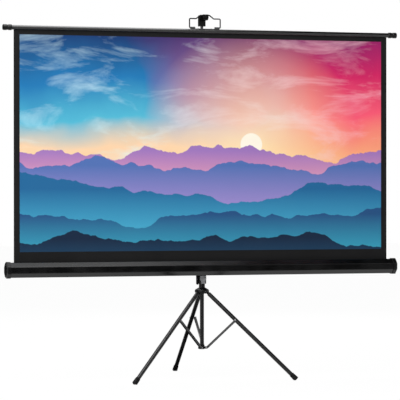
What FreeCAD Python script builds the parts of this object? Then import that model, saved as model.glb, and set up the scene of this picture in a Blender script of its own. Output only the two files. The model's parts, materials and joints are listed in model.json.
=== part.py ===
import FreeCAD, Part
import math
import os

V = FreeCAD.Vector
x_axis = V(1, 0, 0)
y_axis = V(0, 1, 0)
z_axis = V(0, 0, 1)

# A pull-up projection screen on a folding tripod. Millimetres, Z up, X along the case.
# The cloth faces -Y, one leg points back to +Y and two point forward.

# Cloth: the picture and its black border
picture_width = 2214.0
picture_height = 1245.0
border_side = 35.0
border_top = 25.0
border_bottom = 59.0
cloth_thickness = 0.8
cloth_clearance = 0.4

# Case: an eight-sided sheet shell with cup-shaped end caps
case_size = 86.0
case_overhang = 51.0
case_wall = 1.2
case_corner_radius = 5.0
case_slot_width = 8.0
case_slot_offset = 11.0
case_above_carriage = 94.0
cap_rim = 4.0
cap_length = 26.0
cap_end_wall = 8.0
cap_dome_length = 6.0
cap_dome_inset = 9.0
cap_boss_radius = 11.0
cap_boss_length = 12.0
cap_clearance = 0.15
cap_screw_radius = 3.0
cap_screw_length = 9.0
cap_screw_offset = 30.0

# Roller inside the case
roller_radius = 18.0
roller_wall = 1.5
roller_end_play = 6.0
roller_pin_radius = 4.0
roller_plug_depth = 30.0
wound_thickness = 2.2
arbor_length = 520.0
spring_outer_radius = 12.0
spring_inner_radius = 8.0
spring_length = 380.0

# Top bar, its caps and the carrying handle
bar_radius = 13.5
bar_wall = 1.2
bar_overhang = 63.0
bar_cap_radius = 17.0
bar_cap_groove_radius = 15.2
bar_cap_length = 52.0
bar_cap_end_wall = 6.0
bar_cap_corner = 2.5
handle_plate_length = 176.0
handle_plate_width = 16.0
handle_plate_thickness = 2.0
handle_screw_radius = 2.5
handle_screw_length = 8.0
handle_screw_spacing = 40.0
knuckle_length = 28.0
knuckle_radius = 5.5
wire_radius = 3.6
bail_width = 188.0
bail_shoulder_height = 74.0
bail_top_height = 94.0
bail_slope_start = 54.0
bail_slope_end = 28.0
bail_bend_radius = 6.0
bail_foot_length = 33.0

# Mast and its hook
mast_radius = 8.5
mast_wall = 1.2
mast_insertion = 135.0
mast_travel = 800.0
mast_travel_margin = 4.0
mast_guide_length = 30.0
mast_guide_clearance = 0.3
head_width = 40.0
head_depth = 30.0
head_height = 64.0
head_socket_depth = 24.0
head_corner_radius = 4.0
hook_width = 34.0
hook_height = 32.0
hook_tip_length = 12.0
hook_notch_width = 18.5
hook_lip_above_wire = 4.0
hook_corner_radius = 2.5
hook_slope = 14.0
head_back_chamfer = 9.0
hook_screw_radius = 3.0
hook_screw_head = 6.0
hook_screw_rise = 2.0
hook_screw_back = 30.0
wire_seat_gap = 0.3

# Stand: the outer tube, the crown and the legs
tube_radius = 15.0
tube_wall = 1.5
crown_radius = 42.5
crown_below_pivot = 12.0
crown_foot_radius = 31.0
crown_rim_height = 13.0
crown_shoulder_radius = 32.0
crown_shoulder_height = 28.0
neck_radius = 18.0
neck_flare = 4.0
neck_flare_height = 34.0
neck_length = 58.0
crown_slot_above_pivot = 8.6
crown_slot_inner = 9.2
bush_length = 34.0
collar_radius = 22.0
collar_below_top = 35.0
collar_above_top = 25.0
collar_edge = 3.0
button_radius = 6.0
button_length = 15.0
button_travel = 3.0
button_head_radius = 8.0
button_head_length = 3.5
button_edge = 1.2

leg_length = 747.0
leg_spread = 46.7
leg_radius = 12.0
leg_wall = 1.2
leg_pivot_radius = 27.0
leg_tube_start = 24.0
leg_azimuths = {"back": 90.0, "left": 210.0, "right": 330.0}
tab_thickness = 9.0
tab_radius = 8.0
tab_clearance = 0.3
knuckle_plug_length = 34.0
knuckle_flange_length = 5.0
tip_radius = 15.5
tip_top_radius = 14.4
tip_groove_depth = 1.0
tip_groove_width = 2.6
tip_groove_pitch = 9.0
tip_length = 42.0
tip_end_wall = 8.0
tip_short_of_floor = 7.0
tip_round = 3.0
pivot_pin_radius = 2.5
pin_clearance = 0.05
rivet_head_radius = 4.8
rivet_head_height = 1.6
crown_pin_half_length = 26.0
arc_rise = 0.3

brace_length = 241.0
brace_width = 12.0
brace_depth = 13.0
brace_sheet = 1.2
brace_side_clearance = 0.7
brace_sides = {"back": -1.0, "left": 1.0, "right": 1.0}
lug_clearance = 0.3
lug_radius = 7.0
lug_thickness = 12.0

lower_tube_radius = 12.0
lower_tube_wall = 1.5
lower_tube_above_crown = 220.0
hub_radius = 14.5
hub_base = 4.0
hub_below_pivot = 9.0
hub_height = 27.0
running_clearance = 0.08

# Carriage that slides on the outer tube and carries the case
carriage_width = 40.0
carriage_front = 24.0
carriage_back = 21.0
carriage_height = 112.0
carriage_corner = 5.0
plate_corner = 2.0
carriage_clearance = 0.1
plate_width = 38.0
plate_height = 46.0
plate_tongue_width = 24.0
plate_tongue_height = 20.0
plate_thickness = 2.0
plate_screw_radius = 2.5
plate_screw_length = 7.0
plate_screw_spacing = 24.0
screw_head_radius = 4.5
screw_head_height = 2.0
swivel_radius = 18.0
swivel_thickness = 3.0
bracket_width = 120.0
bracket_height = 33.0
bracket_thickness = 3.0
bracket_screw_spacing = 90.0
swivel_bolt_radius = 4.0
swivel_bolt_depth = 7.0
swivel_head_radius = 8.0
swivel_head_height = 4.0
lever_above_bottom = 80.0
lever_out = 7.5
lever_thickness = 12.0
lever_length = 80.0
lever_root_radius = 7.0
lever_ear_thickness = 4.0
lever_ear_radius = 8.0
lever_pin_radius = 2.5
lever_gap = 0.4
lever_tip_radius = 6.0
lever_tip_out = 0.5
shoe_height = 18.0
shoe_width = 12.0
shoe_gap = 0.3

# Heights and depths that follow from the sizes above
spread = math.radians(leg_spread)
pivot_z = leg_length * math.cos(spread)
crown_bottom = pivot_z - crown_below_pivot
neck_top = crown_bottom + neck_length
hub_pivot_z = pivot_z - 2.0 * brace_length * math.cos(spread)

carriage_bottom = neck_top
carriage_top = carriage_bottom + carriage_height
case_z = carriage_bottom + case_above_carriage
case_half = case_size / 2.0
case_back_y = -(carriage_front + swivel_thickness + bracket_thickness)
case_y = case_back_y - case_half
case_top = case_z + case_half

cloth_y = case_y + case_slot_offset
cloth_width = picture_width + 2.0 * border_side
wound_radius = roller_radius + wound_thickness
roller_y = cloth_y - cloth_thickness / 2.0 - cloth_clearance - wound_radius
case_length = cloth_width + 2.0 * case_overhang
shell_end = case_length / 2.0 - cap_end_wall
roller_half = cloth_width / 2.0 + roller_end_play

bar_z = case_top + border_bottom + picture_height + border_top + bar_radius
bar_half = cloth_width / 2.0 + bar_overhang - bar_cap_end_wall
plate_z = bar_z + bar_radius
handle_axis_z = plate_z + handle_plate_thickness + knuckle_radius
wire_top_z = bar_z + bail_top_height

head_top = wire_top_z + hook_lip_above_wire
head_bottom = head_top - head_height
collar_top = head_bottom - mast_travel_margin - mast_travel
tube_top = collar_top - collar_above_top
collar_bottom = tube_top - collar_below_top
mast_bottom = tube_top - mast_insertion
mast_top = head_bottom + head_socket_depth
lower_tube_top = crown_bottom + lower_tube_above_crown

brace_near = leg_radius + brace_side_clearance
brace_far = brace_near + brace_width
lug_far = brace_near - lug_clearance
lug_near = lug_far - lug_thickness


def cylinder(start, direction, radius, length):
    return Part.makeCylinder(radius, length, start, direction)


def sleeve(start, direction, outer, inner, length):
    return cylinder(start, direction, outer, length).cut(cylinder(start, direction, inner, length))


def block(x0, x1, y0, y1, z0, z1):
    return Part.makeBox(x1 - x0, y1 - y0, z1 - z0, V(x0, y0, z0))


def prism(points, reach):
    face = Part.Face(Part.makePolygon(points + points[:1]))
    return face.extrude(reach)


def revolve(points, centre, axis):
    face = Part.Face(Part.makePolygon(points + points[:1]))
    return face.revolve(centre, axis, 360.0)


# An arc from start to end in the XZ plane that stands out from the middle of its chord
def bulge(start, end, size):
    chord = end - start
    outward = V(chord.z, 0, -chord.x).normalize()
    middle = (start + end) * 0.5 + outward * (size * arc_rise)
    return Part.Arc(start, middle, end)


# An arc that rounds a corner, and a line of points with its corners rounded
def rounded_corner(before, corner, after, radius):
    into = (corner - before).normalize()
    out = (after - corner).normalize()
    half_turn = into.getAngle(out) / 2.0
    reach = radius * math.tan(half_turn)
    inward = (out - into).normalize()
    middle = corner + inward * (radius / math.cos(half_turn) - radius)
    return Part.Arc(corner - into * reach, middle, corner + out * reach)


def rounded_path(corners, radius):
    edges = []
    last = corners[0]
    for before, corner, after in zip(corners, corners[1:], corners[2:]):
        arc = rounded_corner(before, corner, after, radius)
        edges.append(Part.LineSegment(last, arc.StartPoint).toShape())
        edges.append(arc.toShape())
        last = arc.EndPoint
    edges.append(Part.LineSegment(last, corners[-1]).toShape())
    return Part.Wire(edges)


def edges_along(shape, direction):
    found = []
    for edge in shape.Edges:
        straight = edge.Curve.TypeId == "Part::GeomLine"
        if straight and abs(edge.tangentAt(edge.FirstParameter).dot(direction)) > 0.999:
            found.append(edge)
    return found


def fuse_all(shapes):
    whole = shapes[0]
    for shape in shapes[1:]:
        whole = whole.fuse(shape)
    return whole.removeSplitter()


def turned(shape, azimuth):
    copy = shape.copy()
    copy.rotate(V(0, 0, 0), z_axis, azimuth)
    return copy


def mirrored(shape):
    return shape.mirror(V(0, 0, 0), x_axis)


# Legs, drawn folded along -Z from their pivot and then spread
def spread_leg(shape):
    copy = shape.copy()
    copy.rotate(V(0, 0, 0), y_axis, -leg_spread)
    copy.translate(V(leg_pivot_radius, 0, pivot_z))
    return copy


def leg_tube():
    end = leg_length - tip_short_of_floor - tip_end_wall
    tube = sleeve(V(0, 0, -end), z_axis, leg_radius, leg_radius - leg_wall, end - leg_tube_start)
    pin_hole = cylinder(V(0, -leg_radius, -brace_length), y_axis, pivot_pin_radius, 2.0 * leg_radius)
    return spread_leg(tube.cut(pin_hole))


def leg_knuckle():
    plug_end = leg_tube_start + knuckle_plug_length
    plug = cylinder(V(0, 0, -plug_end), z_axis, leg_radius - leg_wall, knuckle_plug_length)
    half = tab_thickness / 2.0
    flange = cylinder(V(0, 0, -leg_tube_start), z_axis, leg_radius, knuckle_flange_length)
    tab = block(-tab_radius, tab_radius, -half, half, -leg_tube_start, 0)
    eye = cylinder(V(0, -half, 0), y_axis, tab_radius, tab_thickness)
    solid = fuse_all([plug, flange, tab, eye])
    hole = cylinder(V(0, -half, 0), y_axis, pivot_pin_radius + pin_clearance, tab_thickness)
    return spread_leg(solid.cut(hole))


def leg_tip():
    end = leg_length - tip_short_of_floor
    profile = [
        V(0, 0, -end),
        V(tip_radius - tip_round, 0, -end),
        V(tip_radius, 0, -end + tip_round),
        V(tip_top_radius, 0, -end + tip_length - tip_round),
        V(tip_top_radius - tip_round / 2.0, 0, -end + tip_length),
        V(0, 0, -end + tip_length),
    ]
    tip = revolve(profile, V(0, 0, 0), z_axis)
    for count in (1, 2):
        top = -end + tip_length - count * tip_groove_pitch
        groove = sleeve(
            V(0, 0, top), z_axis, tip_radius, tip_top_radius - tip_groove_depth, tip_groove_width
        )
        tip = tip.cut(groove)
    socket = cylinder(V(0, 0, -end + tip_end_wall), z_axis, leg_radius, tip_length)
    tip = spread_leg(tip.cut(socket))
    box = tip.BoundBox
    floor = block(box.XMin, box.XMax, box.YMin, box.YMax, box.ZMin - tip_radius, 0)
    return tip.cut(floor)


# Braces lie beside their legs, so what holds them is drawn on the +Y side or mirrored to the other
def beside(shape, leg):
    return shape if brace_sides[leg] > 0 else shape.mirror(V(0, 0, 0), y_axis)


def rivet(near, far):
    shank = cylinder(V(0, near, 0), y_axis, pivot_pin_radius, far - near)
    near_head = cylinder(V(0, near, 0), -y_axis, rivet_head_radius, rivet_head_height)
    far_head = cylinder(V(0, far, 0), y_axis, rivet_head_radius, rivet_head_height)
    return fuse_all([shank, near_head, far_head])


def brace_pin(leg):
    pin = rivet(-leg_radius - lug_clearance, brace_far + lug_clearance)
    pin.translate(V(0, 0, -brace_length))
    return spread_leg(beside(pin, leg))


# A channel drawn folded along +Z from the hub pivot, with its web on the post's side
def brace(leg):
    half = brace_depth / 2.0
    pieces = [block(-half, brace_sheet - half, brace_near, brace_far, 0, brace_length)]
    for y in (brace_near, brace_far - brace_sheet):
        pieces.append(block(-half, half, y, y + brace_sheet, 0, brace_length))
        for z in (0, brace_length):
            pieces.append(cylinder(V(0, y, z), y_axis, half, brace_sheet))
    solid = fuse_all(pieces)
    for z in (0, brace_length):
        hole = cylinder(V(0, brace_near, z), y_axis, pivot_pin_radius + pin_clearance, brace_width)
        solid = solid.cut(hole)
    solid = beside(solid, leg)
    solid.rotate(V(0, 0, 0), y_axis, leg_spread)
    solid.translate(V(leg_pivot_radius, 0, hub_pivot_z))
    return solid


# Lower post: the tube that slides in the stand and the hub that holds the braces
def lower_tube():
    bottom = hub_pivot_z - hub_below_pivot + hub_base
    return sleeve(
        V(0, 0, bottom),
        z_axis,
        lower_tube_radius,
        lower_tube_radius - lower_tube_wall,
        lower_tube_top - bottom,
    )


def lower_hub():
    bottom = hub_pivot_z - hub_below_pivot
    cup = cylinder(V(0, 0, bottom), z_axis, hub_radius, hub_height)
    pieces = [cup]
    pivot = V(leg_pivot_radius, lug_near, hub_pivot_z)
    for leg, azimuth in leg_azimuths.items():
        arm = block(0, pivot.x, lug_near, lug_far, pivot.z - lug_radius, pivot.z + lug_radius)
        end = cylinder(pivot, y_axis, lug_radius, lug_thickness)
        pieces.append(turned(beside(arm.fuse(end), leg), azimuth))
    solid = fuse_all(pieces)
    socket = cylinder(V(0, 0, bottom + hub_base), z_axis, lower_tube_radius, hub_height)
    solid = solid.cut(socket)
    hole = cylinder(pivot, y_axis, pivot_pin_radius, lug_thickness)
    for leg, azimuth in leg_azimuths.items():
        solid = solid.cut(turned(beside(hole, leg), azimuth))
    return solid


def hub_pins():
    pin = rivet(lug_near - lug_clearance, brace_far + lug_clearance)
    pin.translate(V(leg_pivot_radius, 0, hub_pivot_z))
    return Part.makeCompound([turned(beside(pin, leg), azimuth) for leg, azimuth in leg_azimuths.items()])


# Stand: outer tube, crown, bush and the collar that guides the mast
def outer_tube():
    return sleeve(
        V(0, 0, crown_bottom), z_axis, tube_radius, tube_radius - tube_wall, tube_top - crown_bottom
    )


def crown():
    foot = V(crown_foot_radius, 0, crown_bottom)
    rim = V(crown_radius, 0, crown_bottom + crown_rim_height)
    shoulder = V(crown_shoulder_radius, 0, crown_bottom + crown_shoulder_height)
    flare = V(neck_radius + neck_flare, 0, crown_bottom + neck_flare_height)
    neck = V(neck_radius, 0, crown_bottom + neck_flare_height + neck_flare)
    outline = [
        Part.LineSegment(V(tube_radius, 0, crown_bottom), foot),
        bulge(foot, rim, crown_radius - crown_foot_radius),
        bulge(rim, shoulder, crown_radius - crown_shoulder_radius),
        Part.LineSegment(shoulder, flare),
        bulge(flare, neck, -neck_flare),
        Part.LineSegment(neck, V(neck_radius, 0, neck_top)),
        Part.LineSegment(V(neck_radius, 0, neck_top), V(tube_radius, 0, neck_top)),
        Part.LineSegment(V(tube_radius, 0, neck_top), V(tube_radius, 0, crown_bottom)),
    ]
    face = Part.Face(Part.Wire([curve.toShape() for curve in outline]))
    solid = face.revolve(V(0, 0, 0), z_axis, 360.0)
    half = tab_thickness / 2.0 + tab_clearance
    for azimuth in leg_azimuths.values():
        slot = block(
            leg_pivot_radius - crown_slot_inner,
            2.0 * crown_radius,
            -half,
            half,
            crown_bottom - crown_below_pivot,
            pivot_z + crown_slot_above_pivot,
        )
        hole = cylinder(
            V(leg_pivot_radius, -crown_radius, pivot_z), y_axis, pivot_pin_radius, 2.0 * crown_radius
        )
        solid = solid.cut(turned(slot, azimuth))
        solid = solid.cut(turned(hole, azimuth))
    return solid


def crown_pins():
    pin = cylinder(
        V(leg_pivot_radius, -crown_pin_half_length, pivot_z),
        y_axis,
        pivot_pin_radius,
        2.0 * crown_pin_half_length,
    )
    return Part.makeCompound([turned(pin, azimuth) for azimuth in leg_azimuths.values()])


def lower_bush():
    return sleeve(
        V(0, 0, crown_bottom),
        z_axis,
        tube_radius - tube_wall,
        lower_tube_radius + running_clearance,
        bush_length,
    )


def tube_collar():
    mast_bore = mast_radius + running_clearance
    profile = [
        V(tube_radius, 0, collar_bottom),
        V(collar_radius - collar_edge, 0, collar_bottom),
        V(collar_radius, 0, collar_bottom + collar_edge),
        V(collar_radius, 0, collar_top - collar_edge),
        V(collar_radius - collar_edge, 0, collar_top),
        V(mast_bore, 0, collar_top),
        V(mast_bore, 0, tube_top),
        V(tube_radius, 0, tube_top),
    ]
    solid = revolve(profile, V(0, 0, 0), z_axis)
    hole = cylinder(
        V(0, 0, button_height()), y_axis, button_radius + running_clearance, 2.0 * collar_radius
    )
    return solid.cut(hole)


def button_height():
    return (tube_top + collar_top) / 2.0


def mast_lock_button():
    start = mast_radius + button_travel + running_clearance + mast_guide_clearance
    under = start + button_length
    end = under + button_head_length
    profile = [
        V(0, start, 0),
        V(button_radius, start, 0),
        V(button_radius, under, 0),
        V(button_head_radius, under, 0),
        V(button_head_radius, end - button_edge, 0),
        V(button_head_radius - button_edge, end, 0),
        V(0, end, 0),
    ]
    button = revolve(profile, V(0, 0, 0), y_axis)
    button.translate(V(0, 0, button_height()))
    return button


# Mast: the inner tube, its guide, the hook head, the top bar and its caps
def mast_tube():
    return sleeve(
        V(0, 0, mast_bottom), z_axis, mast_radius, mast_radius - mast_wall, mast_top - mast_bottom
    )


def mast_guide():
    outer = lower_tube_radius - lower_tube_wall - mast_guide_clearance
    shoe = cylinder(V(0, 0, mast_bottom - mast_guide_length), z_axis, outer, mast_guide_length)
    plug = cylinder(V(0, 0, mast_bottom), z_axis, mast_radius - mast_wall, mast_guide_length)
    return fuse_all([shoe, plug])


def hook_screw_place():
    return V(0, cloth_y + hook_screw_back, head_top - hook_height / 2.0)


def mast_head():
    half_width = head_width / 2.0
    half_depth = head_depth / 2.0
    body = block(-half_width, half_width, -half_depth, half_depth, head_bottom, head_top)
    body = body.makeFillet(head_corner_radius, edges_along(body, z_axis))
    slope = [
        V(-head_width, half_depth - head_back_chamfer, head_top),
        V(-head_width, half_depth, head_top - head_back_chamfer),
        V(-head_width, half_depth, head_top),
    ]
    body = body.cut(prism(slope, V(2.0 * head_width, 0, 0)))
    arm_end = cloth_y - hook_notch_width / 2.0 - hook_tip_length
    low = head_top - hook_height
    side = [
        V(-hook_width / 2.0, 0, low),
        V(-hook_width / 2.0, arm_end + hook_slope, low),
        V(-hook_width / 2.0, arm_end, low + hook_slope),
        V(-hook_width / 2.0, arm_end, head_top),
        V(-hook_width / 2.0, 0, head_top),
    ]
    arm = prism(side, V(hook_width, 0, 0))
    nose = [edge for edge in edges_along(arm, z_axis) if edge.BoundBox.YMax < arm_end + hook_slope]
    arm = arm.makeFillet(hook_corner_radius, nose)
    solid = fuse_all([body, arm])
    notch = block(
        -hook_width,
        hook_width,
        cloth_y - hook_notch_width / 2.0,
        cloth_y + hook_notch_width / 2.0,
        wire_top_z - wire_radius - wire_seat_gap,
        head_top + hook_height,
    )
    notch = notch.makeFillet(hook_corner_radius, [
        edge for edge in edges_along(notch, x_axis) if edge.BoundBox.ZMax < head_top
    ])
    socket = cylinder(V(0, 0, head_bottom), z_axis, mast_radius, head_socket_depth)
    screw_hole = cylinder(
        hook_screw_place() - V(hook_width, 0, 0), x_axis, hook_screw_radius, 2.0 * hook_width
    )
    return solid.cut(notch).cut(socket).cut(screw_hole)


def hook_screw():
    half = hook_width / 2.0
    centre = hook_screw_place()
    shank = cylinder(centre - V(half, 0, 0), x_axis, hook_screw_radius, hook_width)
    near = cylinder(centre - V(half, 0, 0), -x_axis, hook_screw_head, hook_screw_rise)
    far = cylinder(centre + V(half, 0, 0), x_axis, hook_screw_head, hook_screw_rise)
    return fuse_all([shank, near, far])


def top_bar():
    tube = sleeve(V(-bar_half, cloth_y, bar_z), x_axis, bar_radius, bar_radius - bar_wall, 2.0 * bar_half)
    half_slot = cloth_thickness / 2.0 + cloth_clearance
    near = cloth_y - half_slot
    slot = block(-bar_half, bar_half, near, near + 2.0 * half_slot, bar_z - 2.0 * bar_radius, bar_z)
    tube = tube.cut(slot)
    for x in (-handle_screw_spacing, handle_screw_spacing):
        tube = tube.cut(cylinder(V(x, cloth_y, bar_z), z_axis, handle_screw_radius, 2.0 * bar_radius))
    return tube


def bar_cap():
    x = bar_half + bar_cap_end_wall - bar_cap_length
    third = bar_cap_length / 3.0
    profile = [
        V(x, cloth_y, bar_z),
        V(x, cloth_y, bar_z + bar_cap_groove_radius),
        V(x + bar_cap_corner, cloth_y, bar_z + bar_cap_radius),
        V(x + third, cloth_y, bar_z + bar_cap_radius),
        V(x + 1.25 * third, cloth_y, bar_z + bar_cap_groove_radius),
        V(x + 1.55 * third, cloth_y, bar_z + bar_cap_groove_radius),
        V(x + 1.8 * third, cloth_y, bar_z + bar_cap_radius),
        V(x + bar_cap_length - bar_cap_corner, cloth_y, bar_z + bar_cap_radius),
        V(x + bar_cap_length, cloth_y, bar_z + bar_cap_radius - bar_cap_corner),
        V(x + bar_cap_length, cloth_y, bar_z),
    ]
    solid = revolve(profile, V(0, cloth_y, bar_z), x_axis)
    socket = cylinder(V(x, cloth_y, bar_z), x_axis, bar_radius, bar_half - x)
    return solid.cut(socket)


def handle_plate():
    half = handle_plate_length / 2.0
    half_width = handle_plate_width / 2.0
    top = plate_z + handle_plate_thickness
    solid = block(-half, half, cloth_y - half_width, cloth_y + half_width, plate_z, top)
    solid = solid.makeFillet(half_width / 2.0, edges_along(solid, z_axis))
    pieces = [solid]
    for x in (-half, half - knuckle_length):
        barrel = cylinder(V(x, cloth_y, handle_axis_z), x_axis, knuckle_radius, knuckle_length)
        near = cloth_y - knuckle_radius
        far = cloth_y + knuckle_radius
        foot = block(x, x + knuckle_length, near, far, plate_z, handle_axis_z)
        pieces.append(barrel.fuse(foot))
    solid = fuse_all(pieces)
    bore = cylinder(V(-half, cloth_y, handle_axis_z), x_axis, wire_radius + running_clearance, 2.0 * half)
    solid = solid.cut(bore)
    for x in (-handle_screw_spacing, handle_screw_spacing):
        hole = cylinder(V(x, cloth_y, plate_z), z_axis, handle_screw_radius, handle_plate_thickness)
        solid = solid.cut(hole)
    return solid


# Turned-in feet sit in the knuckles; the wire climbs to a straight top in the hook
def bail():
    half = bail_width / 2.0
    foot_x = half - bail_foot_length
    shoulder = bar_z + bail_shoulder_height
    corners = [
        V(-foot_x, cloth_y, handle_axis_z),
        V(-half, cloth_y, handle_axis_z),
        V(-half, cloth_y, shoulder),
        V(-bail_slope_start, cloth_y, shoulder),
        V(-bail_slope_end, cloth_y, wire_top_z),
        V(bail_slope_end, cloth_y, wire_top_z),
        V(bail_slope_start, cloth_y, shoulder),
        V(half, cloth_y, shoulder),
        V(half, cloth_y, handle_axis_z),
        V(foot_x, cloth_y, handle_axis_z),
    ]
    path = rounded_path(corners, bail_bend_radius)
    start = Part.Wire([Part.Circle(corners[0], -x_axis, wire_radius).toShape()])
    return path.makePipeShell([start], True, True)


def handle_screws():
    screws = []
    for x in (-handle_screw_spacing, handle_screw_spacing):
        top = plate_z + handle_plate_thickness
        end = V(x, cloth_y, top - handle_screw_length)
        shank = cylinder(end, z_axis, handle_screw_radius, handle_screw_length)
        head = cylinder(V(x, cloth_y, top), z_axis, screw_head_radius, screw_head_height)
        screws.append(fuse_all([shank, head]))
    return Part.makeCompound(screws)


# Case: shell, end caps, roller and cloth
def octagon_wire(half, radius, x):
    points = []
    for side in range(8):
        turn = math.radians(45.0 * side + 22.5)
        reach = half / math.cos(math.pi / 8.0)
        points.append(V(x, case_y + reach * math.cos(turn), case_z + reach * math.sin(turn)))
    arcs = []
    for before, point, after in zip(points[-1:] + points, points, points[1:] + points[:1]):
        arcs.append(rounded_corner(before, point, after, radius))
    outline = []
    for arc, following in zip(arcs, arcs[1:] + arcs[:1]):
        outline.append(arc)
        outline.append(Part.LineSegment(arc.EndPoint, following.StartPoint))
    return Part.Wire([curve.toShape() for curve in outline])


def octagon_bar(half, radius, x0, x1):
    return Part.Face(octagon_wire(half, radius, x0)).extrude(V(x1 - x0, 0, 0))


def case_shell():
    inner_radius = case_corner_radius - case_wall
    shell = octagon_bar(case_half, case_corner_radius, -shell_end, shell_end)
    shell = shell.cut(octagon_bar(case_half - case_wall, inner_radius, -shell_end, shell_end))
    half_slot = case_slot_width / 2.0
    near = cloth_y - half_slot
    slot = block(-shell_end, shell_end, near, near + case_slot_width, case_z, case_top + case_wall)
    bolt_hole = cylinder(V(0, case_back_y, case_z), -y_axis, swivel_bolt_radius, 2.0 * case_wall)
    shell = shell.cut(slot).cut(bolt_hole)
    for x in (-bracket_screw_spacing / 2.0, bracket_screw_spacing / 2.0):
        hole = cylinder(V(x, case_back_y, case_z), -y_axis, plate_screw_radius, 2.0 * case_wall)
        shell = shell.cut(hole)
    return shell


def case_cap(bored):
    end = case_length / 2.0
    inner = end - cap_length
    rim_end = end - cap_dome_length
    cap = octagon_bar(case_half + cap_rim, case_corner_radius + cap_rim, inner, rim_end)
    dome = Part.makeLoft([
        octagon_wire(case_half + cap_rim, case_corner_radius + cap_rim, rim_end),
        octagon_wire(case_half + cap_rim - cap_dome_inset, case_corner_radius, end),
    ], True, True)
    cap = fuse_all([cap, dome])
    recess = octagon_bar(case_half + cap_clearance, case_corner_radius + cap_clearance, inner, shell_end)
    cap = cap.cut(recess)
    seat = V(shell_end - cap_boss_length, roller_y, case_z)
    boss = cylinder(seat, x_axis, cap_boss_radius, cap_boss_length)
    cap = fuse_all([cap, boss])
    bore_radius = roller_pin_radius + (pin_clearance if bored else 0.0)
    bore = cylinder(seat, x_axis, bore_radius, cap_boss_length)
    cap = cap.cut(bore)
    for z in (-cap_screw_offset, cap_screw_offset):
        place = V(end, case_y, case_z + z)
        hole = cylinder(place, -x_axis, cap_screw_radius, cap_end_wall)
        sink = cylinder(place, -x_axis, screw_head_radius, screw_head_height)
        cap = cap.cut(hole).cut(sink)
    return cap


def cap_screws():
    screws = []
    end = case_length / 2.0
    for z in (-cap_screw_offset, cap_screw_offset):
        place = V(end, case_y, case_z + z)
        shank = cylinder(place, -x_axis, cap_screw_radius, cap_screw_length)
        head = cylinder(place, -x_axis, screw_head_radius, screw_head_height)
        screw = fuse_all([shank, head])
        screws.append(screw)
        screws.append(mirrored(screw))
    return Part.makeCompound(screws)


def roller_tube():
    start = V(-roller_half, roller_y, case_z)
    return sleeve(start, x_axis, roller_radius, roller_radius - roller_wall, 2.0 * roller_half)


def wound_cloth():
    return sleeve(
        V(-cloth_width / 2.0, roller_y, case_z), x_axis, wound_radius, roller_radius, cloth_width
    )


def roller_plug_right():
    start = V(roller_half - roller_plug_depth, roller_y, case_z)
    plug = cylinder(start, x_axis, roller_radius - roller_wall, roller_plug_depth)
    pin_end = shell_end - roller_end_play / 2.0
    pin = cylinder(V(roller_half, roller_y, case_z), x_axis, roller_pin_radius, pin_end - roller_half)
    return fuse_all([plug, pin])


def roller_plug_left():
    start = V(-roller_half, roller_y, case_z)
    plug = cylinder(start, x_axis, roller_radius - roller_wall, roller_plug_depth)
    bore = cylinder(start, x_axis, roller_pin_radius + pin_clearance, roller_plug_depth)
    return plug.cut(bore)


def spring_arbor():
    return cylinder(V(-shell_end, roller_y, case_z), x_axis, roller_pin_radius, arbor_length)


def roller_spring():
    start = -roller_half + roller_plug_depth
    spring = sleeve(
        V(start, roller_y, case_z), x_axis, spring_outer_radius, spring_inner_radius, spring_length
    )
    flange = sleeve(
        V(start, roller_y, case_z), x_axis, roller_radius - roller_wall, spring_inner_radius, case_wall
    )
    return fuse_all([spring, flange])


def screen_cloth():
    half = cloth_thickness / 2.0
    top = bar_z - bar_radius + 2.0 * bar_wall
    return block(-cloth_width / 2.0, cloth_width / 2.0, cloth_y - half, cloth_y + half, case_z, top)


# Carriage: the sliding block, its clamp lever and the swivel that carries the case
def lever_place():
    x = -(carriage_width / 2.0 + lever_out)
    return V(x, -lever_thickness / 2.0, carriage_bottom + lever_above_bottom)


def carriage_block():
    half = carriage_width / 2.0
    body = block(-half, half, -carriage_front, carriage_back, carriage_bottom, carriage_top)
    body = body.makeFillet(carriage_corner, edges_along(body, z_axis))
    pivot = lever_place()
    pieces = [body]
    for y in (-lever_thickness / 2.0 - lever_gap - lever_ear_thickness, lever_thickness / 2.0 + lever_gap):
        ear = cylinder(V(pivot.x, y, pivot.z), y_axis, lever_ear_radius, lever_ear_thickness)
        low = pivot.z - lever_ear_radius
        root = block(pivot.x, -half, y, y + lever_ear_thickness, low, low + 2.0 * lever_ear_radius)
        pieces.append(ear.fuse(root))
    solid = fuse_all(pieces)
    bore = cylinder(V(0, 0, carriage_bottom), z_axis, tube_radius + carriage_clearance, carriage_height)
    bolt_hole = cylinder(V(0, -carriage_front, case_z), y_axis, swivel_bolt_radius, swivel_bolt_depth)
    ear_reach = lever_thickness / 2.0 + lever_gap + lever_ear_thickness
    pin_hole = cylinder(V(pivot.x, -ear_reach, pivot.z), y_axis, lever_pin_radius, 2.0 * ear_reach)
    solid = solid.cut(bore).cut(bolt_hole).cut(pin_hole).cut(shoe_window())
    for place in plate_screw_places():
        solid = solid.cut(cylinder(place, y_axis, plate_screw_radius, plate_screw_length))
    return solid


def shoe_window():
    wide = shoe_width / 2.0
    low = lever_place().z - shoe_height / 2.0
    return block(-carriage_width / 2.0, 0, -wide, wide, low, low + shoe_height)


def clamp_shoe():
    pivot = lever_place()
    below = V(0, 0, pivot.z - shoe_height)
    tube = cylinder(below, z_axis, tube_radius + carriage_clearance, 2.0 * shoe_height)
    before = pivot - V(0, lever_thickness, 0)
    lever_room = cylinder(before, y_axis, lever_root_radius + shoe_gap, 3.0 * lever_thickness)
    return shoe_window().cut(tube).cut(lever_room)


def lever_pin():
    reach = lever_thickness / 2.0 + lever_gap + lever_ear_thickness
    pivot = lever_place()
    return cylinder(V(pivot.x, -reach, pivot.z), y_axis, lever_pin_radius, 2.0 * reach)


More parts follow.
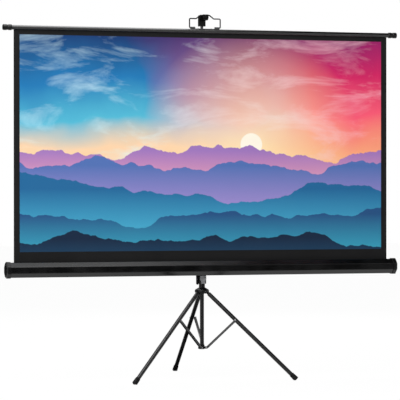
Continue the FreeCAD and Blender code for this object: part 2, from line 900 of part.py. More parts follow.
def clamp_lever():
    pivot = lever_place()
    bottom = pivot.z - lever_length
    outline = [
        V(pivot.x + lever_root_radius, pivot.y, pivot.z),
        V(pivot.x - lever_root_radius, pivot.y, pivot.z),
        V(pivot.x - lever_tip_out - lever_tip_radius, pivot.y, bottom),
        V(pivot.x - lever_tip_out + lever_tip_radius, pivot.y, bottom),
    ]
    arm = prism(outline, V(0, lever_thickness, 0))
    root = cylinder(pivot, y_axis, lever_root_radius, lever_thickness)
    tip = cylinder(V(pivot.x - lever_tip_out, pivot.y, bottom), y_axis, lever_tip_radius, lever_thickness)
    solid = fuse_all([arm, root, tip])
    return solid.cut(cylinder(pivot, y_axis, lever_pin_radius + pin_clearance, lever_thickness))


def plate_screw_places():
    z = carriage_bottom + (plate_height + plate_tongue_height) / 2.0
    half = plate_screw_spacing / 2.0
    return [V(-half, -carriage_front, z), V(half, -carriage_front, z)]


def carriage_plate():
    half = plate_width / 2.0
    front = -carriage_front - plate_thickness
    step = carriage_bottom + plate_tongue_height
    top = carriage_bottom + plate_height
    tongue = plate_tongue_width / 2.0
    outline = [
        V(-tongue, front, carriage_bottom),
        V(tongue, front, carriage_bottom),
        V(tongue, front, step),
        V(half, front, step),
        V(half, front, top),
        V(-half, front, top),
        V(-half, front, step),
        V(-tongue, front, step),
    ]
    plate = prism(outline, V(0, plate_thickness, 0))
    plate = plate.makeFillet(plate_corner, edges_along(plate, y_axis))
    for place in plate_screw_places():
        plate = plate.cut(cylinder(place, -y_axis, plate_screw_radius, plate_thickness))
    return plate


def plate_screws():
    screws = []
    for place in plate_screw_places():
        shank = cylinder(place + V(0, -plate_thickness, 0), y_axis, plate_screw_radius, plate_screw_length)
        head = cylinder(place + V(0, -plate_thickness, 0), -y_axis, screw_head_radius, screw_head_height)
        screws.append(fuse_all([shank, head]))
    return Part.makeCompound(screws)


def swivel_washer():
    return sleeve(
        V(0, -carriage_front, case_z), -y_axis, swivel_radius, swivel_bolt_radius, swivel_thickness
    )


def case_bracket():
    half = bracket_width / 2.0
    low = case_z - bracket_height / 2.0
    plate = block(-half, half, case_back_y, case_back_y + bracket_thickness, low, low + bracket_height)
    plate = plate.makeFillet(carriage_corner, edges_along(plate, y_axis))
    plate = plate.cut(cylinder(V(0, case_back_y, case_z), y_axis, swivel_bolt_radius, bracket_thickness))
    for x in (-bracket_screw_spacing / 2.0, bracket_screw_spacing / 2.0):
        hole = cylinder(V(x, case_back_y, case_z), y_axis, plate_screw_radius, bracket_thickness)
        plate = plate.cut(hole)
    return plate


def bracket_screws():
    screws = []
    back = case_back_y + bracket_thickness
    for x in (-bracket_screw_spacing / 2.0, bracket_screw_spacing / 2.0):
        reach = bracket_thickness + 2.0 * case_wall
        shank = cylinder(V(x, back, case_z), -y_axis, plate_screw_radius, reach)
        head = cylinder(V(x, back, case_z), y_axis, screw_head_radius, screw_head_height)
        screws.append(fuse_all([shank, head]))
    return Part.makeCompound(screws)


def swivel_bolt():
    inside = case_back_y - case_wall
    shank_end = -carriage_front + swivel_bolt_depth
    shank = cylinder(V(0, inside, case_z), y_axis, swivel_bolt_radius, shank_end - inside)
    head = cylinder(V(0, inside, case_z), -y_axis, swivel_head_radius, swivel_head_height)
    return fuse_all([shank, head])


def build_parts():
    parts = {
        "outer_tube": outer_tube(),
        "crown": crown(),
        "crown_pins": crown_pins(),
        "lower_bush": lower_bush(),
        "tube_collar": tube_collar(),
        "mast_lock_button": mast_lock_button(),
        "lower_tube": lower_tube(),
        "lower_hub": lower_hub(),
        "hub_pins": hub_pins(),
        "mast_tube": mast_tube(),
        "mast_guide": mast_guide(),
        "mast_head": mast_head(),
        "hook_screw": hook_screw(),
        "top_bar": top_bar(),
        "bar_cap_right": bar_cap(),
        "bar_cap_left": mirrored(bar_cap()),
        "handle_plate": handle_plate(),
        "handle_screws": handle_screws(),
        "bail": bail(),
        "case_shell": case_shell(),
        "case_cap_right": case_cap(True),
        "case_cap_left": mirrored(case_cap(False)),
        "cap_screws": cap_screws(),
        "roller_tube": roller_tube(),
        "wound_cloth": wound_cloth(),
        "roller_plug_right": roller_plug_right(),
        "roller_plug_left": roller_plug_left(),
        "roller_spring": roller_spring(),
        "spring_arbor": spring_arbor(),
        "screen_cloth": screen_cloth(),
        "carriage_block": carriage_block(),
        "carriage_plate": carriage_plate(),
        "plate_screws": plate_screws(),
        "clamp_shoe": clamp_shoe(),
        "clamp_lever": clamp_lever(),
        "lever_pin": lever_pin(),
        "swivel_washer": swivel_washer(),
        "swivel_bolt": swivel_bolt(),
        "case_bracket": case_bracket(),
        "bracket_screws": bracket_screws(),
    }
    for side, azimuth in leg_azimuths.items():
        parts["leg_tube_" + side] = turned(leg_tube(), azimuth)
        parts["leg_knuckle_" + side] = turned(leg_knuckle(), azimuth)
        parts["leg_tip_" + side] = turned(leg_tip(), azimuth)
        parts["brace_pin_" + side] = turned(brace_pin(side), azimuth)
        parts["brace_" + side] = turned(brace(side), azimuth)
    return parts


# The origin is on the floor at the middle of the footprint
def footprint_shift(parts):
    whole = FreeCAD.BoundBox()
    for shape in parts.values():
        whole.add(shape.BoundBox)
    return -(whole.YMin + whole.YMax) / 2.0


parts = build_parts()
post_y = footprint_shift(parts)
os.makedirs("parts", exist_ok=True)
for name, shape in parts.items():
    shape.translate(V(0, post_y, 0))
    shape.exportStep("parts/" + name + ".step")
    print(name, "solids", len(shape.Solids), "valid", shape.isValid(), "volume", round(shape.Volume, 1))
print("post at y", round(post_y, 3), "pieces", len(parts))
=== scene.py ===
import bmesh
import bpy
import json
import math
from mathutils import Euler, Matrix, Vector


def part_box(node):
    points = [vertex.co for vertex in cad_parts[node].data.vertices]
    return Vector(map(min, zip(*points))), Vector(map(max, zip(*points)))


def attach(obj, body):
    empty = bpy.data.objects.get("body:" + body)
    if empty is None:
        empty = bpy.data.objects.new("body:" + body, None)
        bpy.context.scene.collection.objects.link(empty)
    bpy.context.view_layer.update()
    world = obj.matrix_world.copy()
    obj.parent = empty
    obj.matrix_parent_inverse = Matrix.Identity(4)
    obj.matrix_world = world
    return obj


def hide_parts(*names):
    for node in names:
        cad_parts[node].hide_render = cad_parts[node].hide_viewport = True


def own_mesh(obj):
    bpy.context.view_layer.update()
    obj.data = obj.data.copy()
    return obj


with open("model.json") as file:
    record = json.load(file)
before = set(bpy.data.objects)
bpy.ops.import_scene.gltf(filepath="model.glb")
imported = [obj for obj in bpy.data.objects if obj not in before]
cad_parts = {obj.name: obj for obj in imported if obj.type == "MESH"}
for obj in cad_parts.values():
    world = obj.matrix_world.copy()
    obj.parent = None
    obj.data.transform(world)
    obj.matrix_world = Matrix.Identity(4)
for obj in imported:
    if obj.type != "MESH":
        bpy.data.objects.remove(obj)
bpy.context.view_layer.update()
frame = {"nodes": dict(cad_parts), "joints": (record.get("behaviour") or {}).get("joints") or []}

clothLow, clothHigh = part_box("screen_cloth")
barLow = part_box("top_bar")[0]
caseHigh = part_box("case_shell")[1]
tubeLow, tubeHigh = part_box("outer_tube")
slides = {joint["name"]: joint for joint in frame["joints"]}
postPlace = Vector(((tubeLow.x + tubeHigh.x) / 2, (tubeLow.y + tubeHigh.y) / 2, 0))


# small helpers for materials

def newMaterial(name):
    material = bpy.data.materials.new(name)
    material.use_nodes = True
    tree = material.node_tree
    return material, tree, tree.nodes["Principled BSDF"]


def plug(tree, value, socket):
    if isinstance(value, bpy.types.NodeSocket):
        tree.links.new(value, socket)
    else:
        socket.default_value = value


def addNode(tree, kind, inputs=None, **settings):
    node = tree.nodes.new(kind)
    for key, value in settings.items():
        setattr(node, key, value)
    for key, value in (inputs or {}).items():
        plug(tree, value, node.inputs[key])
    return node


def math2(tree, operation, a, b, clamp=False):
    node = addNode(tree, "ShaderNodeMath", {0: a, 1: b}, operation=operation, use_clamp=clamp)
    return node.outputs[0]


def within(tree, value, middle, reach):
    node = addNode(tree, "ShaderNodeMath", {0: value, 1: middle, 2: reach}, operation="COMPARE")
    return node.outputs[0]


def mixColor(tree, factor, a, b, blend="MIX"):
    inputs = {0: factor, 6: a, 7: b}
    node = addNode(tree, "ShaderNodeMix", inputs, data_type="RGBA", blend_type=blend)
    return node.outputs[2]


def ramp(tree, factor, stops):
    node = addNode(tree, "ShaderNodeValToRGB", {0: factor})
    marks = node.color_ramp.elements
    while len(marks) < len(stops):
        marks.new(0.5)
    for mark, (place, color) in zip(marks, stops):
        mark.position = place
        mark.color = (*color, 1)
    return node.outputs[0]


def span(tree, value, low, high, to0=0.0, to1=1.0):
    node = addNode(tree, "ShaderNodeMapRange", {0: value, 1: low, 2: high, 3: to0, 4: to1})
    return node.outputs[0]


def noise(tree, place, scale, detail):
    inputs = {"Vector": place, "Scale": scale, "Detail": detail}
    return addNode(tree, "ShaderNodeTexNoise", inputs).outputs[0]


def stretch(tree, place, factors):
    node = addNode(tree, "ShaderNodeVectorMath", {0: place, 1: factors}, operation="MULTIPLY")
    return node.outputs[0]


def objectPlace(tree):
    return addNode(tree, "ShaderNodeTexCoord").outputs["Object"]


def addBump(tree, surface, height, strength, depth):
    inputs = {"Height": height, "Strength": strength, "Distance": depth}
    relief = addNode(tree, "ShaderNodeBump", inputs)
    plug(tree, relief.outputs[0], surface.inputs["Normal"])


def seenDirectly(tree):  # 1 for the camera, for mirrors and through glass
    light = addNode(tree, "ShaderNodeLightPath").outputs
    seen = math2(tree, "MAXIMUM", light["Is Camera Ray"], light["Is Glossy Ray"])
    return math2(tree, "MAXIMUM", seen, light["Is Transmission Ray"])


def newGroup(name, inputs, outputs):
    group = bpy.data.node_groups.new(name, "ShaderNodeTree")
    for label, kind, value in inputs:
        socket = group.interface.new_socket(label, in_out="INPUT", socket_type=kind)
        socket.default_value = value
    for label, kind in outputs:
        group.interface.new_socket(label, in_out="OUTPUT", socket_type=kind)
    return group, group.nodes.new("NodeGroupInput"), group.nodes.new("NodeGroupOutput")


def useGroup(tree, group, inputs):
    node = tree.nodes.new("ShaderNodeGroup")
    node.node_tree = group
    for key, value in inputs.items():
        plug(tree, value, node.inputs[key])
    return node


# shared surface effects

def makeFinishGrain():
    group, start, end = newGroup(
        "finishGrain",
        [("Scale", "NodeSocketFloat", 900.0), ("Patch Scale", "NodeSocketFloat", 9.0)],
        [("Height", "NodeSocketFloat"), ("Patch", "NodeSocketFloat")],
    )
    place = objectPlace(group)
    plug(group, noise(group, place, start.outputs["Scale"], 3.0), end.inputs["Height"])
    plug(group, noise(group, place, start.outputs["Patch Scale"], 4.0), end.inputs["Patch"])
    return group


def makeSettledDust():
    group, start, end = newGroup(
        "settledDust",
        [("Amount", "NodeSocketFloat", 0.15), ("Scale", "NodeSocketFloat", 60.0)],
        [("Mask", "NodeSocketFloat")],
    )
    facing = addNode(group, "ShaderNodeNewGeometry").outputs["Normal"]
    upward = addNode(group, "ShaderNodeSeparateXYZ", {0: facing}).outputs["Z"]
    specks = noise(group, objectPlace(group), start.outputs["Scale"], 6.0)
    broken = span(group, specks, 0.42, 0.72)
    top = span(group, upward, 0.35, 1.0)  # only faces that look up hold dust
    settled = math2(group, "MULTIPLY", top, broken)
    mask = math2(group, "MULTIPLY", settled, start.outputs["Amount"])
    plug(group, mask, end.inputs["Mask"])
    return group


def makeDrawnLines():
    group, start, end = newGroup(
        "drawnLines",
        [("Stretch", "NodeSocketVector", (900.0, 900.0, 12.0))],
        [("Line", "NodeSocketFloat")],
    )
    drawn = stretch(group, objectPlace(group), start.outputs["Stretch"])
    plug(group, noise(group, drawn, 1.0, 3.0), end.inputs["Line"])
    return group


finishGrain = makeFinishGrain()
settledDust = makeSettledDust()
drawnLines = makeDrawnLines()

# painted, moulded and rubber surfaces

paint = {
    "patchScale": 7.0,
    "dustScale": 55.0,
    "dustColor": (0.32, 0.31, 0.3, 1),
    "patchGain": 1.5,  # the lighter patches: color times gain plus lift
    "patchLift": 0.001,
    "tintRange": (0.35, 0.7),
    "roughRange": (0.3, 0.75),
    "smoother": 0.05,
    "rougher": 0.07,
    "grainDepth": 0.0002,
    "coatRoughness": 0.18,
}
enamels = {
    "caseEnamel": {"color": (0.002, 0.002, 0.0022), "roughness": 0.2, "grain": 650.0,
                   "bump": 0.08, "dust": 0.004, "gloss": 0.42},
    "barEnamel": {"color": (0.002, 0.002, 0.0022), "roughness": 0.18, "grain": 800.0,
                  "bump": 0.06, "dust": 0.004, "coat": 0.8},
    "tubeEnamel": {"color": (0.004, 0.004, 0.0043), "roughness": 0.28, "grain": 800.0,
                   "bump": 0.08, "dust": 0.015, "gloss": 0.4},
    "legEnamel": {"color": (0.005, 0.005, 0.0053), "roughness": 0.24, "grain": 800.0,
                  "bump": 0.08, "dust": 0.01, "gloss": 0.4},
    # the braces wear the legs' black paint; their lighter colour here is painted sheen for the
    # light their flat tops catch
    "braceEnamelPaintedSheen": {"color": (0.014, 0.014, 0.0145), "roughness": 0.28, "grain": 800.0,
                    "bump": 0.08, "dust": 0.02, "coat": 1.0, "gloss": 0.6},
    "wireEnamel": {"color": (0.002, 0.002, 0.002), "roughness": 0.32, "grain": 900.0,
                   "bump": 0.06, "dust": 0.0, "gloss": 0.14},
    "mouldedPlastic": {"color": (0.002, 0.002, 0.0022), "roughness": 0.26, "grain": 420.0,
                       "bump": 0.12, "dust": 0.004, "gloss": 0.3},
    "tipRubber": {"color": (0.004, 0.004, 0.004), "roughness": 0.6, "grain": 260.0,
                  "bump": 0.5, "dust": 0.01, "gloss": 0.15},
}


def enamel(name, color, roughness, grain, bump, dust, coat=0.0, gloss=0.5):
    material, tree, surface = newMaterial(name)
    grainNode = useGroup(tree, finishGrain, {"Scale": grain, "Patch Scale": paint["patchScale"]})
    dustNode = useGroup(tree, settledDust, {"Amount": dust, "Scale": paint["dustScale"]})
    patch = grainNode.outputs["Patch"]
    mask = dustNode.outputs["Mask"]
    lighter = tuple(min(1.0, c * paint["patchGain"] + paint["patchLift"]) for c in color)
    tint = mixColor(tree, span(tree, patch, *paint["tintRange"]), (*color, 1), (*lighter, 1))
    dusty = mixColor(tree, mask, tint, paint["dustColor"])
    plug(tree, dusty, surface.inputs["Base Color"])
    smooth = roughness - paint["smoother"]
    rough = span(tree, patch, *paint["roughRange"], smooth, roughness + paint["rougher"])
    plug(tree, math2(tree, "ADD", rough, mask, True), surface.inputs["Roughness"])
    addBump(tree, surface, grainNode.outputs["Height"], bump, paint["grainDepth"])
    surface.inputs["Coat Weight"].default_value = coat
    surface.inputs["Coat Roughness"].default_value = paint["coatRoughness"]
    surface.inputs["Specular IOR Level"].default_value = gloss
    return material


# bare metal

metal = {
    "grain": 400.0,
    "patchScale": 14.0,
    "lineShade": 0.72,
    "tintRange": (0.3, 0.7),
    "roughRange": (0.3, 0.7),
    "smoother": 0.06,
    "rougher": 0.1,
    "bump": 0.15,
    "lineDepth": 0.0002,
}
metals = {
    "mastMetal": {"color": (0.055, 0.055, 0.058), "roughness": 0.32, "lines": (900.0, 900.0, 10.0)},
    "plateMetal": {"color": (0.33, 0.333, 0.342), "roughness": 0.45, "lines": (30.0, 500.0, 800.0),
                   "metallic": 0.25},
    "screwSteel": {"color": (0.5, 0.5, 0.51), "roughness": 0.34, "lines": (500.0, 500.0, 500.0)},
}


def plainMetal(name, color, roughness, lines, metallic=1.0):
    material, tree, surface = newMaterial(name)
    line = useGroup(tree, drawnLines, {"Stretch": lines}).outputs["Line"]
    grainScales = {"Scale": metal["grain"], "Patch Scale": metal["patchScale"]}
    patch = useGroup(tree, finishGrain, grainScales).outputs["Patch"]
    darker = tuple(c * metal["lineShade"] for c in color)
    tint = mixColor(tree, span(tree, line, *metal["tintRange"]), (*darker, 1), (*color, 1))
    plug(tree, tint, surface.inputs["Base Color"])
    smooth = roughness - metal["smoother"]
    rough = span(tree, patch, *metal["roughRange"], smooth, roughness + metal["rougher"])
    plug(tree, rough, surface.inputs["Roughness"])
    addBump(tree, surface, line, metal["bump"], metal["lineDepth"])
    surface.inputs["Metallic"].default_value = metallic
    return material


# which nodes wear which finish; the rest are moulded plastic

wornBy = {
    "caseEnamel": ["case_shell"],
    "barEnamel": ["top_bar", "handle_plate"],
    "tubeEnamel": ["outer_tube", "lower_tube"],
    "legEnamel": ["leg_tube_back", "leg_tube_left", "leg_tube_right"],
    "braceEnamelPaintedSheen": ["brace_back", "brace_left", "brace_right"],
    "wireEnamel": ["bail", "mast_head", "hook_screw"],
    "tipRubber": ["leg_tip_back", "leg_tip_left", "leg_tip_right"],
    "mastMetal": ["mast_tube", "roller_tube", "spring_arbor"],
    "plateMetal": ["carriage_plate", "case_bracket"],
    "screwSteel": ["crown_pins", "hub_pins", "handle_screws", "cap_screws", "plate_screws",
                   "lever_pin", "swivel_bolt", "bracket_screws", "roller_spring",
                   "brace_pin_back", "brace_pin_left", "brace_pin_right"],
}


def dressFrame():
    finishes = {name: enamel(name, **values) for name, values in enamels.items()}
    finishes.update({name: plainMetal(name, **values) for name, values in metals.items()})
    named = {node: finishes[finish] for finish, nodes in wornBy.items() for node in nodes}
    for name, thing in frame["nodes"].items():
        thing.data.materials.clear()
        thing.data.materials.append(named.get(name, finishes["mouldedPlastic"]))
    print("finishes:", len(finishes))


dressFrame()


# cloth: a printed front with a black border and a dark back

cloth = {
    "thickness": 0.0006,
    "columns": 96,
    "rowHeight": 0.02,
    "sideBorder": 0.035,
    "topBorder": 0.025,
    "bottomBorder": 0.059,
    "printInset": 0.0006,  # share of the height left black above and below the print
    "ripple": 0.0002,
    "rippleAcross": 9.0,
    "rippleUp": 4.0,
    "rippleSway": 0.6,
    "keptEdge": 0.003,  # what the squash leaves of the lower cloth
    "borderColor": (0.0055, 0.0055, 0.006, 1),
    "weave": {"Scale": 1400.0, "Patch Scale": 5.0},
    "weaveBump": 0.1,
    "weaveDepth": 0.0001,
    "roughRange": (0.3, 0.7, 0.72, 0.84),
    "gloss": 0.25,
    "back": {"color": (0.012, 0.012, 0.0125), "roughness": 0.8, "grain": 1200.0,
             "bump": 0.2, "dust": 0.0},
}
landscape = {
    "shape": 1.78,  # width over height
    "driftScale": 2.2,
    "driftUp": 0.25,
    "driftAcross": 0.3,
    "leftSky": [(0.3, (1.0, 0.52, 0.15)), (0.48, (0.95, 0.65, 0.4)), (0.6, (0.08, 0.47, 0.65)),
                (0.78, (0.01, 0.18, 0.44)), (1.0, (0.004, 0.04, 0.16))],
    "rightSky": [(0.3, (1.0, 0.68, 0.28)), (0.46, (1.0, 0.38, 0.2)), (0.64, (0.98, 0.1, 0.18)),
                 (0.84, (0.65, 0.015, 0.12)), (1.0, (0.26, 0.01, 0.13))],
    "skyTurn": (0.45, 0.95),  # where the left sky gives way to the right one
    "cloudStretch": (2.4, 7.5, 1.0),
    "cloudNoise": {"Scale": 1.0, "Detail": 9.0, "Roughness": 0.6, "Distortion": 0.6},
    "cloudRange": (0.5, 0.78, 0.0, 0.75),
    "leftCloud": (0.7, 0.95, 1.0, 1),
    "rightCloud": (1.0, 0.62, 0.68, 1),
    "sunPlace": (1.12, 0.5, 0.0),
    "sunEdge": (0.056, 0.052),
    "sunColor": (1.0, 0.93, 0.78, 1),
    "glowRange": (0.55, 0.0, 0.0, 0.8),
    "glowColor": (1.0, 0.75, 0.32, 1),
    "ridgeNoise": {"Scale": 1.0, "Detail": 7.0, "Roughness": 0.52},
    "ridgeEdge": 0.003,
}
ridges = [  # from the far one to the near one
    {"Crest": (0.34, 0.18, 0.5, 1), "Mist": (0.95, 0.39, 0.44, 1),
     "Height": 0.47, "Swing": 0.3, "Peaks": 3.4, "Seed": 2.7, "Depth": 0.22},
    {"Crest": (0.08, 0.16, 0.44, 1), "Mist": (0.42, 0.29, 0.65, 1),
     "Height": 0.4, "Swing": 0.34, "Peaks": 2.7, "Seed": 9.1, "Depth": 0.26},
    {"Crest": (0.013, 0.13, 0.31, 1), "Mist": (0.065, 0.44, 0.65, 1),
     "Height": 0.29, "Swing": 0.34, "Peaks": 2.1, "Seed": 15.4, "Depth": 0.24},
    {"Crest": (0.016, 0.08, 0.22, 1), "Mist": (0.04, 0.39, 0.55, 1),
     "Height": 0.17, "Swing": 0.3, "Peaks": 2.6, "Seed": 21.8, "Depth": 0.2},
    {"Crest": (0.004, 0.018, 0.05, 1), "Mist": (0.013, 0.08, 0.17, 1),
     "Height": 0.06, "Swing": 0.24, "Peaks": 3.3, "Seed": 30.2, "Depth": 0.16},
]
clothPlane = (clothLow.y + clothHigh.y) / 2
clothWidth = clothHigh.x - clothLow.x
clothShown = barLow.z - caseHigh.z
mastTravel = -slides["mast_height"]["range_m"][0]
# above the split the cloth goes with the mast, below it with the case
clothSplit = clothLow.z + mastTravel + cloth["keptEdge"]


def makeRidge():
    group, start, end = newGroup(
        "ridge",
        [("Behind", "NodeSocketColor", (1, 1, 1, 1)),
         ("Crest", "NodeSocketColor", (0, 0, 0, 1)),
         ("Mist", "NodeSocketColor", (0.5, 0.5, 0.5, 1)),
         ("Across", "NodeSocketFloat", 0.0),
         ("Up", "NodeSocketFloat", 0.0),
         ("Height", "NodeSocketFloat", 0.4),
         ("Swing", "NodeSocketFloat", 0.2),
         ("Peaks", "NodeSocketFloat", 3.0),
         ("Seed", "NodeSocketFloat", 0.0),
         ("Depth", "NodeSocketFloat", 0.2)],
        [("Color", "NodeSocketColor")],
    )
    given = start.outputs
    spread = math2(group, "MULTIPLY", given["Across"], given["Peaks"])
    along = math2(group, "ADD", spread, given["Seed"])
    lineInputs = {"W": along, **landscape["ridgeNoise"]}
    line = addNode(group, "ShaderNodeTexNoise", lineInputs, noise_dimensions="1D").outputs[0]
    rise = math2(group, "MULTIPLY", math2(group, "SUBTRACT", line, 0.5), given["Swing"])
    crest = math2(group, "ADD", given["Height"], rise)
    below = math2(group, "SUBTRACT", crest, given["Up"])
    inside = span(group, below, 0.0, landscape["ridgeEdge"])
    lower = math2(group, "SUBTRACT", given["Height"], given["Up"])
    sink = math2(group, "DIVIDE", lower, given["Depth"], True)
    face = mixColor(group, sink, given["Crest"], given["Mist"])
    plug(group, mixColor(group, inside, given["Behind"], face), end.inputs["Color"])
    return group


def pictureColor(tree, across, up):
    wide = math2(tree, "MULTIPLY", across, landscape["shape"])
    place = addNode(tree, "ShaderNodeCombineXYZ", {0: wide, 1: up}).outputs[0]
    drift = noise(tree, place, landscape["driftScale"], 3.0)
    sway = math2(tree, "MULTIPLY", math2(tree, "SUBTRACT", drift, 0.5), landscape["driftUp"])
    bent = math2(tree, "ADD", up, sway)
    leftSky = ramp(tree, bent, landscape["leftSky"])
    rightSky = ramp(tree, bent, landscape["rightSky"])
    shift = math2(tree, "MULTIPLY", drift, landscape["driftAcross"])
    side = span(tree, math2(tree, "ADD", across, shift), *landscape["skyTurn"])
    sky = mixColor(tree, side, leftSky, rightSky)
    cloudPlace = stretch(tree, place, landscape["cloudStretch"])
    cloudInputs = {"Vector": cloudPlace, **landscape["cloudNoise"]}
    wisps = addNode(tree, "ShaderNodeTexNoise", cloudInputs).outputs[0]
    cloudTint = mixColor(tree, side, landscape["leftCloud"], landscape["rightCloud"])
    sky = mixColor(tree, span(tree, wisps, *landscape["cloudRange"]), sky, cloudTint)
    sunInputs = {0: place, 1: landscape["sunPlace"]}
    toSun = addNode(tree, "ShaderNodeVectorMath", sunInputs, operation="DISTANCE").outputs["Value"]
    glow = span(tree, toSun, *landscape["glowRange"])
    sky = mixColor(tree, glow, sky, landscape["glowColor"], "SCREEN")
    sky = mixColor(tree, span(tree, toSun, *landscape["sunEdge"]), sky, landscape["sunColor"])
    ridge = makeRidge()
    for layer in ridges:
        inputs = {"Behind": sky, "Across": across, "Up": up, **layer}
        sky = useGroup(tree, ridge, inputs).outputs["Color"]
    return sky


def makeClothFront():
    material, tree, surface = newMaterial("clothFront")
    flat = addNode(tree, "ShaderNodeUVMap", uv_map="cloth").outputs[0]
    flatParts = addNode(tree, "ShaderNodeSeparateXYZ", {0: flat}).outputs
    acrossLow = cloth["sideBorder"] / clothWidth
    upLow = cloth["bottomBorder"] / clothShown
    upHigh = 1 - cloth["topBorder"] / clothShown
    across = span(tree, flatParts["X"], acrossLow, 1 - acrossLow)
    up = span(tree, flatParts["Y"], upLow, upHigh)
    picture = pictureColor(tree, across, up)
    upReach = (upHigh - upLow) / 2 - cloth["printInset"]
    inWidth = within(tree, flatParts["X"], 0.5, 0.5 - acrossLow)
    inHeight = within(tree, flatParts["Y"], (upLow + upHigh) / 2, upReach)
    printed = math2(tree, "MULTIPLY", inWidth, inHeight)
    color = mixColor(tree, printed, cloth["borderColor"], picture)
    plug(tree, color, surface.inputs["Base Color"])
    weave = useGroup(tree, finishGrain, cloth["weave"]).outputs
    rough = span(tree, weave["Patch"], *cloth["roughRange"])
    plug(tree, rough, surface.inputs["Roughness"])
    addBump(tree, surface, weave["Height"], cloth["weaveBump"], cloth["weaveDepth"])
    surface.inputs["Specular IOR Level"].default_value = cloth["gloss"]
    return material


clothFront = makeClothFront()
clothBack = enamel("clothBack", **cloth["back"])


def makeCloth(name, low, high):
    shape = bmesh.new()
    rows = max(2, round((high - low) / cloth["rowHeight"]))
    bmesh.ops.create_grid(shape, x_segments=cloth["columns"], y_segments=rows, size=0.5)
    bmesh.ops.scale(shape, vec=(clothWidth, high - low, 1), verts=shape.verts)
    upright = Euler((math.pi / 2, 0, 0)).to_matrix()
    bmesh.ops.rotate(shape, matrix=upright, verts=shape.verts)
    bmesh.ops.translate(shape, vec=(0, clothPlane, (low + high) / 2), verts=shape.verts)
    flatMap = shape.loops.layers.uv.new("cloth")
    for vert in shape.verts:
        share = min(1, max(0, (vert.co.z - caseHigh.z) / clothShown))
        hang = math.sin(math.pi * share)  # no ripple where the bar and the case hold it
        sway = cloth["rippleSway"] * math.sin(vert.co.z * cloth["rippleUp"])
        wave = math.sin(vert.co.x * cloth["rippleAcross"] + sway)
        vert.co.y += cloth["ripple"] * hang * wave
    bmesh.ops.recalc_face_normals(shape, faces=shape.faces)
    if next(iter(shape.faces)).normal.y > 0:
        bmesh.ops.reverse_faces(shape, faces=shape.faces)
    for face in shape.faces:
        face.smooth = True
        for loop in face.loops:
            place = loop.vert.co
            fromCase = (place.z - caseHigh.z) / clothShown
            loop[flatMap].uv = (place.x / clothWidth + 0.5, fromCase)
    mesh = bpy.data.meshes.new(name)
    shape.to_mesh(mesh)
    shape.free()
    piece = bpy.data.objects.new(name, mesh)
    bpy.context.collection.objects.link(piece)
    mesh.materials.append(clothFront)
    mesh.materials.append(clothBack)
    wall = piece.modifiers.new("wall", "SOLIDIFY")
    wall.thickness = cloth["thickness"]
    wall.offset = 0
    wall.material_offset = 1
    flatten = piece.modifiers.new("flatten", "WEIGHTED_NORMAL")
    flatten.weight = 100  # keeps the thin edge out of the face's shading
    return piece


upperCloth = makeCloth("upperCloth", clothSplit, clothHigh.z)
lowerCloth = makeCloth("lowerCloth", clothLow.z, clothSplit)
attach(upperCloth, "mast")
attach(lowerCloth, "carriage")
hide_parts("screen_cloth")
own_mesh(upperCloth)
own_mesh(lowerCloth)


# floor and black cards; only reflections see the cards, as beside a product on a white sweep

floorPlane = {
    "size": (60.0, 60.0),
    "facing": (0, 0, 1),
    "center": (0, 0, 0),
    "color": (0.93, 0.93, 0.93, 1),
    "roughness": 0.9,
    "glow": 0.96,
}
darkCards = {
    "frontCard": {"center": (1.2, -4.6, 0.5), "size": (8.8, 1.0), "facing": (0, 1, 0)},
    "floorCard": {"center": (1.8, -3.9, 0.004), "size": (7.6, 1.4), "facing": (0, 0, 1)},
    "edgeCard": {"center": (0.9, -0.9, 0.004), "size": (4.8, 0.8), "facing": (0, 0, 1)},
    "legCard": {"center": (-0.1, 0.35, 0.004), "size": (1.2, 0.8), "facing": (0, 0, 1)},
    "topCard": {"center": (3.95, 3.1, 4.5), "size": (5.4, 8.0), "facing": (0, 0, -1)},
    "barCard": {"center": (3.6, -3.95, 4.5), "size": (5.4, 6.1), "facing": (0, 0, -1)},
    "backCard": {"center": (-2.2, 4.0, 1.7), "size": (4.4, 3.4), "facing": (0, -1, 0)},
    "leftCard": {"center": (-4.2, -1.1, 0.9), "size": (2.4, 1.8), "facing": (1, 0, 0)},
    "rightCard": {"center": (5.5, -1.4, 1.0), "size": (2.4, 2.0), "facing": (-1, 0, 0)},
}


def addPlane(name, plane, material):
    shape = bmesh.new()
    bmesh.ops.create_grid(shape, x_segments=1, y_segments=1, size=0.5)
    bmesh.ops.scale(shape, vec=(*plane["size"], 1), verts=shape.verts)
    turn = Vector(plane["facing"]).to_track_quat("Z", "Y").to_matrix()
    bmesh.ops.rotate(shape, matrix=turn, verts=shape.verts)
    bmesh.ops.translate(shape, vec=plane["center"], verts=shape.verts)
    mesh = bpy.data.meshes.new(name)
    shape.to_mesh(mesh)
    shape.free()
    mesh.materials.append(material)
    thing = bpy.data.objects.new(name, mesh)
    bpy.context.collection.objects.link(thing)
    return thing


def makeFloor():
    material, tree, surface = newMaterial("paleFloor")
    surface.inputs["Base Color"].default_value = floorPlane["color"]
    surface.inputs["Roughness"].default_value = floorPlane["roughness"]
    glow = addNode(tree, "ShaderNodeEmission", {"Color": (1, 1, 1, 1), "Strength": 1.0})
    share = math2(tree, "MULTIPLY", seenDirectly(tree), floorPlane["glow"])
    blendInputs = {0: share, 1: surface.outputs[0], 2: glow.outputs[0]}
    blend = addNode(tree, "ShaderNodeMixShader", blendInputs)
    plug(tree, blend.outputs[0], tree.nodes["Material Output"].inputs[0])
    addPlane("floor", floorPlane, material)


def makeDarkCards():
    black, _, surface = newMaterial("blackCard")
    surface.inputs["Base Color"].default_value = (0, 0, 0, 1)
    surface.inputs["Specular IOR Level"].default_value = 0.0
    for name, card in darkCards.items():
        thing = addPlane(name, card, black)
        thing.visible_camera = False
        thing.visible_diffuse = False
        thing.visible_transmission = False
        thing.visible_shadow = False


makeFloor()
makeDarkCards()


# light

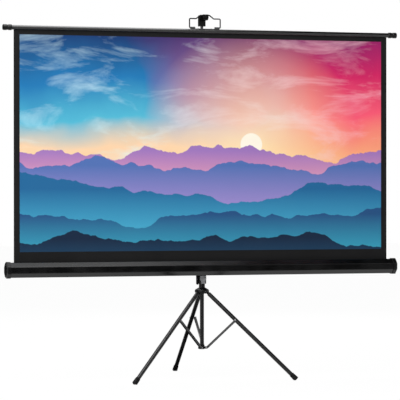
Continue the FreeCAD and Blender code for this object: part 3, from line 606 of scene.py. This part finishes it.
worldLight = 0.4
lamps = {
    "keyLight": {"place": (-4.5, -6.0, 4.5), "aim": (0, 0, 1.2),
                 "size": (4.0, 4.0), "power": 200.0},
    "topLight": {"place": (-0.4, -0.4, 5.5), "aim": (-0.4, -0.4, 0),
                 "size": (3.0, 1.0), "power": 9.0},
    "barLight": {"place": (-0.4, -2.3, 5.5), "aim": (-0.4, -2.3, 0),
                 "size": (3.0, 2.8), "power": 100.0},
    "rearLight": {"place": (-0.4, 1.6, 5.5), "aim": (-0.4, 1.6, 0),
                  "size": (3.0, 3.0), "power": 80.0},
    "leftLight": {"place": (-2.9, 0.3, 5.5), "aim": (-2.9, 0.3, 0),
                  "size": (1.8, 3.0), "power": 70.0},
    "backLight": {"place": (2.5, 5.5, 3.5), "aim": (0, 0, 1.0),
                  "size": (4.0, 3.0), "power": 160.0, "mirrored": False},
}


def makeWorld():
    world = bpy.data.worlds.new("studio")
    bpy.context.scene.world = world
    world.use_nodes = True
    tree = world.node_tree
    background = tree.nodes["Background"]
    background.inputs["Color"].default_value = (1, 1, 1, 1)
    strength = span(tree, seenDirectly(tree), 0.0, 1.0, worldLight, 1.0)
    plug(tree, strength, background.inputs["Strength"])


def addLamp(name, place, aim, size, power, mirrored=True):
    lamp = bpy.data.lights.new(name, "AREA")
    lamp.shape = "RECTANGLE"
    lamp.size, lamp.size_y = size
    lamp.energy = power
    holder = bpy.data.objects.new(name, lamp)
    holder.location = place
    holder.rotation_euler = (Vector(aim) - Vector(place)).to_track_quat("-Z", "Y").to_euler()
    holder.visible_glossy = mirrored
    bpy.context.collection.objects.link(holder)


makeWorld()
for lampName, lampValues in lamps.items():
    addLamp(lampName, **lampValues)
print("studio: lamps", len(bpy.data.lights))


# camera, fitted to the photograph

photoCamera = {
    "azimuth": -17.071,
    "distance": 12.781,
    "sideways": -0.011,
    "height": 1.107,
    "pitch": -0.254,
    "roll": 0.035,
    "focalPixels": 2171.4,
    "frameSize": 400,
    "sensorWidth": 36.0,
    "clipEnd": 200.0,
}


def makeCamera():
    turn = math.radians(photoCamera["azimuth"])
    back = Vector((math.sin(turn), -math.cos(turn), 0))
    right = Vector((math.cos(turn), math.sin(turn), 0))
    place = postPlace + back * photoCamera["distance"] + right * photoCamera["sideways"]
    place.z = photoCamera["height"]
    camera = bpy.data.cameras.new("photoCamera")
    camera.sensor_width = photoCamera["sensorWidth"]
    camera.lens = camera.sensor_width * photoCamera["focalPixels"] / photoCamera["frameSize"]
    camera.clip_end = photoCamera["clipEnd"]
    holder = bpy.data.objects.new("photoCamera", camera)
    holder.location = place
    tilt = math.radians(90 + photoCamera["pitch"])
    holder.rotation_euler = Euler((tilt, math.radians(photoCamera["roll"]), turn))
    bpy.context.collection.objects.link(holder)
    bpy.context.scene.camera = holder


makeCamera()
bpy.context.scene.view_settings.view_transform = "Standard"
print("camera: lens", round(bpy.context.scene.camera.data.lens, 2))
